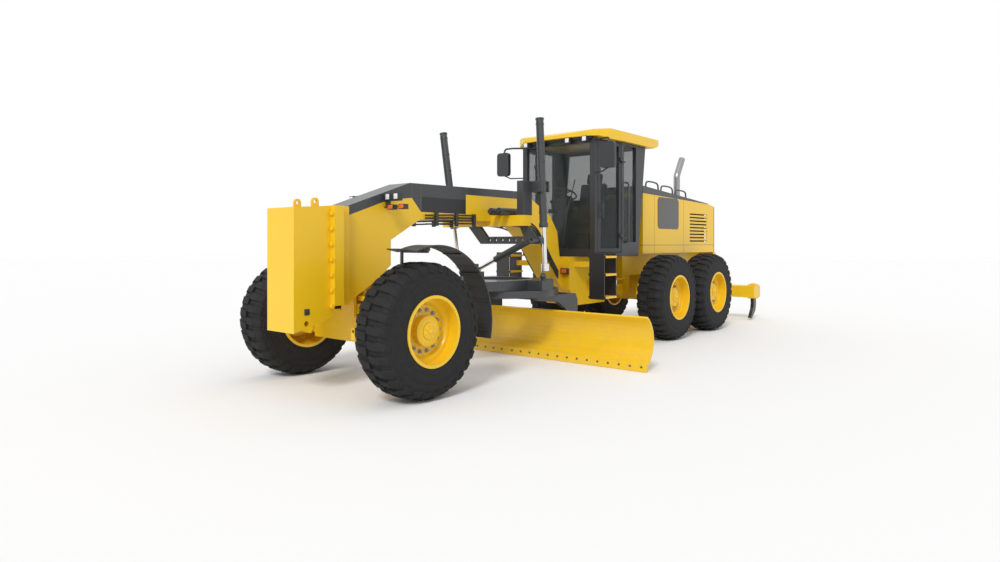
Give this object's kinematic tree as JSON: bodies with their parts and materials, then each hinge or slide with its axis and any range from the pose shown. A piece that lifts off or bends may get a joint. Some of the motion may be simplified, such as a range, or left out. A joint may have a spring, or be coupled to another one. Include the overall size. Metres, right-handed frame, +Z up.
{
  "type": "motor grader",
  "caption": "Articulated motor grader with a long gooseneck, a turning blade, leaning front wheels, tandem rear wheels, a cab, a push block and a rear ripper.",
  "frame": {"origin": "on the ground under the middle of the machine's length", "axes": "+X forward along the machine, +Y to the machine's left, +Z up"},
  "size_m": [10.14, 4.267, 3.262],
  "materials": {
    "yellow_paint": "semi-gloss golden yellow",
    "black_paint": "satin black",
    "dark_grey_paint": "satin dark grey",
    "grey_paint": "satin grey",
    "worn_steel": "worn",
    "chrome": "polished",
    "engine_iron": "cast",
    "tyre": "matte",
    "black_plastic": "moulded",
    "tinted_glass": "tinted",
    "seat_fabric": "woven",
    "lamp_white": "clear lens"
  },
  "bodies": {
    "front_frame": {"push_block": "yellow_paint", "front_frame": "yellow_paint", "lift_arms": "black_paint", "front_axle": "yellow_paint", "cab_frame": "dark_grey_paint", "cab_roof": "yellow_paint", "cab_glass": "tinted_glass", "seat": "seat_fabric", "console": "dark_grey_paint", "steps": "black_paint", "lamps": "lamp_white"},
    "rear_frame": {"rear_frame": "yellow_paint", "tandem_cases": "yellow_paint", "hood": "yellow_paint", "engine": "engine_iron", "exhaust": "chrome"},
    "ripper_frame": {"ripper_frame": "yellow_paint"},
    "ripper_barrels": {"ripper_barrels": "black_paint"},
    "ripper_rods": {"ripper_rods": "chrome"},
    "lean_left": {"lean_bracket_left": "yellow_paint"},
    "lean_right": {"lean_bracket_right": "yellow_paint"},
    "lean_bar": {"lean_bar": "yellow_paint"},
    "knuckle_left": {"knuckle_left": "yellow_paint", "fender_left": "black_plastic"},
    "knuckle_right": {"knuckle_right": "yellow_paint", "fender_right": "black_plastic"},
    "tie_rod_end": {"tie_rod_end": "yellow_paint"},
    "tie_rod": {"tie_rod": "yellow_paint"},
    "steer_barrel": {"steer_barrel": "black_paint"},
    "steer_rod": {"steer_rod": "chrome"},
    "drawbar_ball": {"drawbar_ball": "grey_paint"},
    "drawbar": {"drawbar": "grey_paint"},
    "circle": {"circle": "grey_paint"},
    "blade_carrier": {"blade_carrier": "black_paint"},
    "moldboard": {"moldboard": "yellow_paint", "cutting_edges": "worn_steel"},
    "shift_barrel": {"shift_barrel": "black_paint"},
    "shift_rod": {"shift_rod": "chrome"},
    "door_left": {"door_left": "dark_grey_paint", "door_glass_left": "tinted_glass"},
    "lift_barrel_left": {"lift_barrel_left": "black_paint"},
    "lift_rod_left": {"lift_rod_left": "chrome"},
    "articulation_rod_left": {"articulation_rod_left": "chrome"},
    "wheel_front_left": {"tyre_front_left": "tyre", "rim_front_left": "yellow_paint"},
    "wheel_middle_left": {"tyre_middle_left": "tyre", "rim_middle_left": "yellow_paint"},
    "wheel_rear_left": {"tyre_rear_left": "tyre", "rim_rear_left": "yellow_paint"},
    "door_right": {"door_right": "dark_grey_paint", "door_glass_right": "tinted_glass"},
    "lift_barrel_right": {"lift_barrel_right": "black_paint"},
    "lift_rod_right": {"lift_rod_right": "chrome"},
    "articulation_rod_right": {"articulation_rod_right": "chrome"},
    "wheel_front_right": {"tyre_front_right": "tyre", "rim_front_right": "yellow_paint"},
    "wheel_middle_right": {"tyre_middle_right": "tyre", "rim_middle_right": "yellow_paint"},
    "wheel_rear_right": {"tyre_rear_right": "tyre", "rim_rear_right": "yellow_paint"}
  },
  "joints": [
    {"name": "articulation", "type": "hinge", "parent": "front_frame", "child": "rear_frame", "pos_m": [-0.77, 0, 0.93], "axis": [0, 0, 1], "range_deg": [-20, 20]},
    {"name": "articulation_rod_left_slide", "type": "slide", "parent": "front_frame", "child": "articulation_rod_left", "axis": [1, 0, 0], "range_m": [-0.1261, 0.1261]},
    {"name": "articulation_rod_right_slide", "type": "slide", "parent": "front_frame", "child": "articulation_rod_right", "axis": [1, 0, 0], "range_m": [-0.1261, 0.1261]},
    {"name": "lean", "type": "hinge", "parent": "front_frame", "child": "lean_left", "pos_m": [4.18, 0.72, 0.58], "axis": [1, 0, 0], "range_deg": [-18, 18]},
    {"name": "lean_right_turn", "type": "hinge", "parent": "front_frame", "child": "lean_right", "pos_m": [4.18, -0.72, 0.58], "axis": [1, 0, 0], "range_deg": [-18, 18]},
    {"name": "lean_bar_turn", "type": "hinge", "parent": "lean_left", "child": "lean_bar", "pos_m": [4.18, 0.72, 0.94], "axis": [1, 0, 0], "range_deg": [-18, 18]},
    {"name": "steer", "type": "hinge", "parent": "lean_left", "child": "knuckle_left", "pos_m": [4.18, 0.88, 0.675], "axis": [0, 0, 1], "range_deg": [-47, 47]},
    {"name": "steer_right_turn", "type": "hinge", "parent": "lean_right", "child": "knuckle_right", "pos_m": [4.18, -0.88, 0.675], "axis": [0, 0, 1], "range_deg": [-47, 47]},
    {"name": "tie_rod_end_turn", "type": "hinge", "parent": "knuckle_left", "child": "tie_rod_end", "pos_m": [4.04, 0.88, 0.612], "axis": [0, 0, 1], "range_deg": [-47, 47]},
    {"name": "tie_rod_tip", "type": "hinge", "parent": "tie_rod_end", "child": "tie_rod", "pos_m": [4.04, 0.826, 0.612], "axis": [1, 0, 0], "range_deg": [-15.58, 15.58]},
    {"name": "steer_barrel_tip", "type": "hinge", "parent": "front_frame", "child": "steer_barrel", "pos_m": [4.32, 0.25, 0.612], "axis": [1, 0, 0], "range_deg": [-4.6, 4.6]},
    {"name": "steer_rod_slide", "type": "slide", "parent": "steer_barrel", "child": "steer_rod", "axis": [0, 1, 0], "range_m": [-0.1054, 0.1054]},
    {"name": "wheel_front_left_spin", "type": "hinge", "parent": "knuckle_left", "child": "wheel_front_left", "pos_m": [4.18, 1.04, 0.674], "axis": [0, 1, 0], "continuous": true},
    {"name": "wheel_front_right_spin", "type": "hinge", "parent": "knuckle_right", "child": "wheel_front_right", "pos_m": [4.18, -1.04, 0.674], "axis": [0, 1, 0], "continuous": true},
    {"name": "wheel_middle_left_spin", "type": "hinge", "parent": "rear_frame", "child": "wheel_middle_left", "pos_m": [-1.21, 1.04, 0.674], "axis": [0, 1, 0], "continuous": true},
    {"name": "wheel_middle_right_spin", "type": "hinge", "parent": "rear_frame", "child": "wheel_middle_right", "pos_m": [-1.21, -1.04, 0.674], "axis": [0, 1, 0], "continuous": true},
    {"name": "wheel_rear_left_spin", "type": "hinge", "parent": "rear_frame", "child": "wheel_rear_left", "pos_m": [-2.75, 1.04, 0.674], "axis": [0, 1, 0], "continuous": true},
    {"name": "wheel_rear_right_spin", "type": "hinge", "parent": "rear_frame", "child": "wheel_rear_right", "pos_m": [-2.75, -1.04, 0.674], "axis": [0, 1, 0], "continuous": true},
    {"name": "drawbar_lift", "type": "hinge", "parent": "front_frame", "child": "drawbar_ball", "pos_m": [3.7, 0, 1.05], "axis": [0, 1, 0], "range_deg": [-20.5, 11.2]},
    {"name": "drawbar_shift", "type": "hinge", "parent": "drawbar_ball", "child": "drawbar", "pos_m": [3.7, 0, 1.05], "axis": [0, 0, 1], "range_deg": [-16.4, 23.6]},
    {"name": "circle_turn", "type": "hinge", "parent": "drawbar", "child": "circle", "pos_m": [1.83, 0.117, 0.89], "axis": [0, 0, -1], "range_deg": [-50, 50]},
    {"name": "blade_tip", "type": "hinge", "parent": "circle", "child": "blade_carrier", "pos_m": [1.19, 0.117, 0.3], "axis": [0, 1, 0], "range_deg": [-3, 40]},
    {"name": "blade_side_shift", "type": "slide", "parent": "blade_carrier", "child": "moldboard", "axis": [0, 1, 0], "range_m": [-0.5, 0.5]},
    {"name": "lift_barrel_left_tilt", "type": "hinge", "parent": "front_frame", "child": "lift_barrel_left", "pos_m": [1.85, 0.815, 2.25], "axis": [1, 0, 0], "range_deg": [-37.83, 26.3]},
    {"name": "lift_rod_left_slide", "type": "slide", "parent": "lift_barrel_left", "child": "lift_rod_left", "axis": [0, -0.0462, 0.9989], "range_m": [-0.659, 0.3614]},
    {"name": "lift_barrel_right_tilt", "type": "hinge", "parent": "front_frame", "child": "lift_barrel_right", "pos_m": [1.85, -0.815, 2.25], "axis": [1, 0, 0], "range_deg": [-35.79, 24.89]},
    {"name": "lift_rod_right_slide", "type": "slide", "parent": "lift_barrel_right", "child": "lift_rod_right", "axis": [0, -0.1597, 0.9872], "range_m": [-0.6529, 0.3581]},
    {"name": "shift_barrel_tilt", "type": "hinge", "parent": "drawbar_ball", "child": "shift_barrel", "pos_m": [2.17, 0.856, 1.562], "axis": [1, 0, 0], "range_deg": [-14.03, 9.77]},
    {"name": "shift_rod_slide", "type": "slide", "parent": "shift_barrel", "child": "shift_rod", "axis": [0, -0.9152, -0.4031], "range_m": [-0.2091, 0.2996]},
    {"name": "door_left_swing", "type": "hinge", "parent": "front_frame", "child": "door_left", "pos_m": [-0.17636, 0.81455, 2.2], "axis": [0, 0, 1], "range_deg": [0, 100]},
    {"name": "door_right_swing", "type": "hinge", "parent": "front_frame", "child": "door_right", "pos_m": [-0.17636, -0.81455, 2.2], "axis": [0, 0, -1], "range_deg": [0, 100]},
    {"name": "ripper_lift", "type": "hinge", "parent": "rear_frame", "child": "ripper_frame", "pos_m": [-4.24, 0, 0.95], "axis": [0, 1, 0], "range_deg": [-20, 35]},
    {"name": "ripper_barrels_tilt", "type": "hinge", "parent": "rear_frame", "child": "ripper_barrels", "pos_m": [-4.24, 0, 1.29], "axis": [0, 1, 0], "range_deg": [-15.01, 26.22]},
    {"name": "ripper_rods_slide", "type": "slide", "parent": "ripper_barrels", "child": "ripper_rods", "axis": [-0.7228, 0, -0.6911], "range_m": [-0.1684, 0.0975]}
  ],
  "couplings": [
    {"joint": "articulation_rod_left_slide", "follows": "articulation", "m_per_rad": -0.3527},
    {"joint": "articulation_rod_right_slide", "follows": "articulation", "m_per_rad": 0.3527},
    {"joint": "lean_right_turn", "follows": "lean", "ratio": 1},
    {"joint": "lean_bar_turn", "follows": "lean", "ratio": -1},
    {"joint": "steer_right_turn", "follows": "steer", "ratio": 1},
    {"joint": "tie_rod_end_turn", "follows": "steer", "ratio": -1},
    {"joint": "tie_rod_tip", "follows": "lean", "ratio": -0.8456},
    {"joint": "steer_barrel_tip", "follows": "lean", "ratio": 0.248},
    {"joint": "steer_rod_slide", "follows": "steer", "m_per_rad": 0.1248},
    {"joint": "lift_barrel_left_tilt", "follows": "drawbar_shift", "ratio": -1.5695},
    {"joint": "lift_rod_left_slide", "follows": "drawbar_lift", "m_per_rad": 1.8336},
    {"joint": "lift_barrel_right_tilt", "follows": "drawbar_shift", "ratio": -1.4847},
    {"joint": "lift_rod_right_slide", "follows": "drawbar_lift", "m_per_rad": 1.8165},
    {"joint": "shift_barrel_tilt", "follows": "drawbar_shift", "ratio": -0.5809},
    {"joint": "shift_rod_slide", "follows": "drawbar_shift", "m_per_rad": 0.72},
    {"joint": "ripper_barrels_tilt", "follows": "ripper_lift", "ratio": 0.7331},
    {"joint": "ripper_rods_slide", "follows": "ripper_lift", "m_per_rad": -0.2707}
  ]
}
